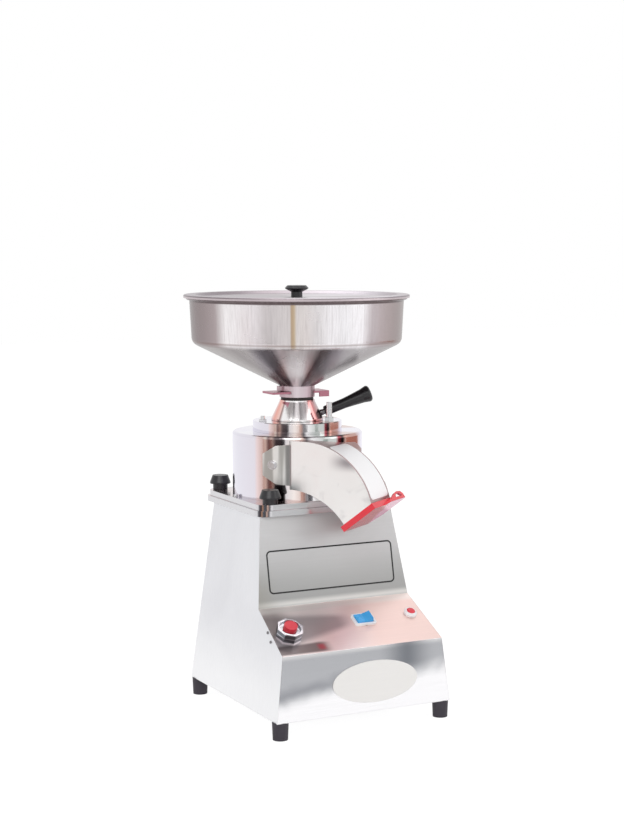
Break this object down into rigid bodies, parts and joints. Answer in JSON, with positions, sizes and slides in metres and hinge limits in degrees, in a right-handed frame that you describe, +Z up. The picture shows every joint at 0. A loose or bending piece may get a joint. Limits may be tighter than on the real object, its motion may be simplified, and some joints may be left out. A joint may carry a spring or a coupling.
{
  "type": "electric grain mill",
  "caption": "Tabletop electric stone grain mill: tapered steel cabinet, round milling chamber, curved capped side chute and lidded round hopper.",
  "frame": {"origin": "on the table under the middle of the cabinet's foot, in the plane of the four rubber feet", "axes": "+X to the machine's right, +Y to its back, +Z up; the control panel faces -Y"},
  "size_m": [0.2414, 0.2772, 0.448],
  "materials": {
    "cabinet_shell": "satin stainless sheet, polished on the panel and the lower front",
    "bottom_plate": "satin stainless sheet, polished on the panel and the lower front",
    "rubber_feet": "black rubber",
    "foot_screws": "bright plated steel",
    "cable_gland": "black plastic",
    "front_plate": "plain pale oval plate",
    "side_screws": "dark rivets",
    "mounting_plate": "turned and mirror polished",
    "clamp_studs": "bright plated steel",
    "chamber_plate": "turned and mirror polished",
    "chamber_drum": "turned and mirror polished",
    "drum_screws": "bright plated steel",
    "adjuster_flange": "turned and mirror polished",
    "flange_screws": "bright plated steel",
    "stop_stud": "bright plated steel",
    "discharge_chute": "pale satin stainless sheet",
    "chute_screws": "bright plated steel",
    "chute_label": "plain white label",
    "mouth_cap": "glossy red plastic",
    "throat_seal": "black rubber",
    "hopper_collar": "brushed stainless sheet",
    "hopper_bowl": "brushed stainless sheet",
    "feed_gate": "brushed stainless sheet",
    "hopper_lid": "brushed stainless sheet",
    "lid_knob": "black moulded plastic",
    "lid_screw": "bright plated steel",
    "motor_housing": "dark painted casting",
    "motor_cap": "dark painted casting",
    "motor_bolts": "bright plated steel",
    "stator_core": "laminations with varnished winding",
    "upper_bearing": "ground steel",
    "lower_bearing": "ground steel",
    "motor_shaft": "ground steel",
    "rotor_core": "cast rotor",
    "cooling_fan": "dark plastic",
    "runner_plate": "cast aluminium",
    "runner_stone": "dark emery stone",
    "runner_nut": "bright plated steel",
    "stone_carrier": "cast aluminium",
    "upper_stone": "dark emery stone",
    "adjusting_cone": "turned and mirror polished",
    "lever_rod": "dark steel",
    "lever_grip": "black moulded plastic",
    "clamp_knob_front_left": "black moulded plastic",
    "clamp_knob_front_right": "black moulded plastic",
    "clamp_knob_back_left": "black moulded plastic",
    "clamp_knob_back_right": "black moulded plastic",
    "run_capacitor": "pale plastic can",
    "capacitor_clip": "zinc plated strap",
    "reset_housing": "bright octagonal nut",
    "reset_button": "red plastic",
    "switch_frame": "white plastic",
    "switch_rocker": "blue plastic",
    "lamp_ring": "white plastic",
    "lamp_lens": "red plastic"
  },
  "bodies": {
    "housing": {"cabinet_shell": "cabinet_shell", "bottom_plate": "bottom_plate", "rubber_feet": "rubber_feet", "foot_screws": "foot_screws", "cable_gland": "cable_gland", "front_plate": "front_plate", "side_screws": "side_screws", "mounting_plate": "mounting_plate", "clamp_studs": "clamp_studs", "chamber_plate": "chamber_plate", "chamber_drum": "chamber_drum", "drum_screws": "drum_screws", "adjuster_flange": "adjuster_flange", "flange_screws": "flange_screws", "stop_stud": "stop_stud", "discharge_chute": "discharge_chute", "chute_screws": "chute_screws", "chute_label": "chute_label", "throat_seal": "throat_seal", "hopper_collar": "hopper_collar", "hopper_bowl": "hopper_bowl", "motor_housing": "motor_housing", "motor_cap": "motor_cap", "motor_bolts": "motor_bolts", "stator_core": "stator_core", "upper_bearing": "upper_bearing", "lower_bearing": "lower_bearing", "run_capacitor": "run_capacitor", "capacitor_clip": "capacitor_clip", "reset_housing": "reset_housing", "switch_frame": "switch_frame", "lamp_ring": "lamp_ring", "lamp_lens": "lamp_lens"},
    "runner": {"motor_shaft": "motor_shaft", "rotor_core": "rotor_core", "cooling_fan": "cooling_fan", "runner_plate": "runner_plate", "runner_stone": "runner_stone", "runner_nut": "runner_nut"},
    "stone_lift": {"stone_carrier": "stone_carrier", "upper_stone": "upper_stone"},
    "adjuster": {"adjusting_cone": "adjusting_cone", "lever_rod": "lever_rod", "lever_grip": "lever_grip"},
    "gate": {"feed_gate": "feed_gate"},
    "lid": {"hopper_lid": "hopper_lid", "lid_knob": "lid_knob", "lid_screw": "lid_screw"},
    "rocker": {"switch_rocker": "switch_rocker"},
    "reset": {"reset_button": "reset_button"},
    "cap": {"mouth_cap": "mouth_cap"},
    "knob_front_left": {"clamp_knob_front_left": "clamp_knob_front_left"},
    "knob_front_right": {"clamp_knob_front_right": "clamp_knob_front_right"},
    "knob_back_left": {"clamp_knob_back_left": "clamp_knob_back_left"},
    "knob_back_right": {"clamp_knob_back_right": "clamp_knob_back_right"}
  },
  "joints": [
    {"name": "runner_spin", "type": "hinge", "parent": "housing", "child": "runner", "pos_m": [0, 0.046, 0.225], "axis": [0, 0, 1], "continuous": true},
    {"name": "lever_turn", "type": "hinge", "parent": "housing", "child": "adjuster", "pos_m": [0, 0.046, 0.304], "axis": [0, 0, 1], "range_deg": [-20, 60]},
    {"name": "stone_lift", "type": "slide", "parent": "housing", "child": "stone_lift", "axis": [0, 0, 1], "range_m": [-0.00016666, 0.0005]},
    {"name": "gate_slide", "type": "slide", "parent": "housing", "child": "gate", "axis": [1, 0, 0], "range_m": [0, 0.018]},
    {"name": "lid_lift", "type": "slide", "parent": "housing", "child": "lid", "axis": [0, 0, 1], "range_m": [0, 0.08]},
    {"name": "rocker_tilt", "type": "hinge", "parent": "housing", "child": "rocker", "pos_m": [0.018, -0.07101, 0.10438], "axis": [0, 0.8748, 0.4845], "range_deg": [0, 24]},
    {"name": "reset_press", "type": "slide", "parent": "housing", "child": "reset", "axis": [0, 0.4845, -0.8748], "range_m": [0, 0.003], "stiffness_N_per_m": 300, "springref_m": -0.001},
    {"name": "cap_pull", "type": "slide", "parent": "housing", "child": "cap", "axis": [0.3572, -0.4916, -0.7942], "range_m": [0, 0.03]},
    {"name": "knob_front_left_spin", "type": "hinge", "parent": "housing", "child": "knob_front_left", "pos_m": [-0.063, -0.018, 0.225], "axis": [0, 0, 1], "continuous": true},
    {"name": "knob_back_left_spin", "type": "hinge", "parent": "housing", "child": "knob_back_left", "pos_m": [-0.063, 0.11, 0.225], "axis": [0, 0, 1], "continuous": true},
    {"name": "knob_front_right_spin", "type": "hinge", "parent": "housing", "child": "knob_front_right", "pos_m": [0.063, -0.018, 0.225], "axis": [0, 0, 1], "continuous": true},
    {"name": "knob_back_right_spin", "type": "hinge", "parent": "housing", "child": "knob_back_right", "pos_m": [0.063, 0.11, 0.225], "axis": [0, 0, 1], "continuous": true}
  ],
  "couplings": [
    {"joint": "lever_turn", "follows": "stone_lift", "rad_per_m": 2094.4}
  ]
}
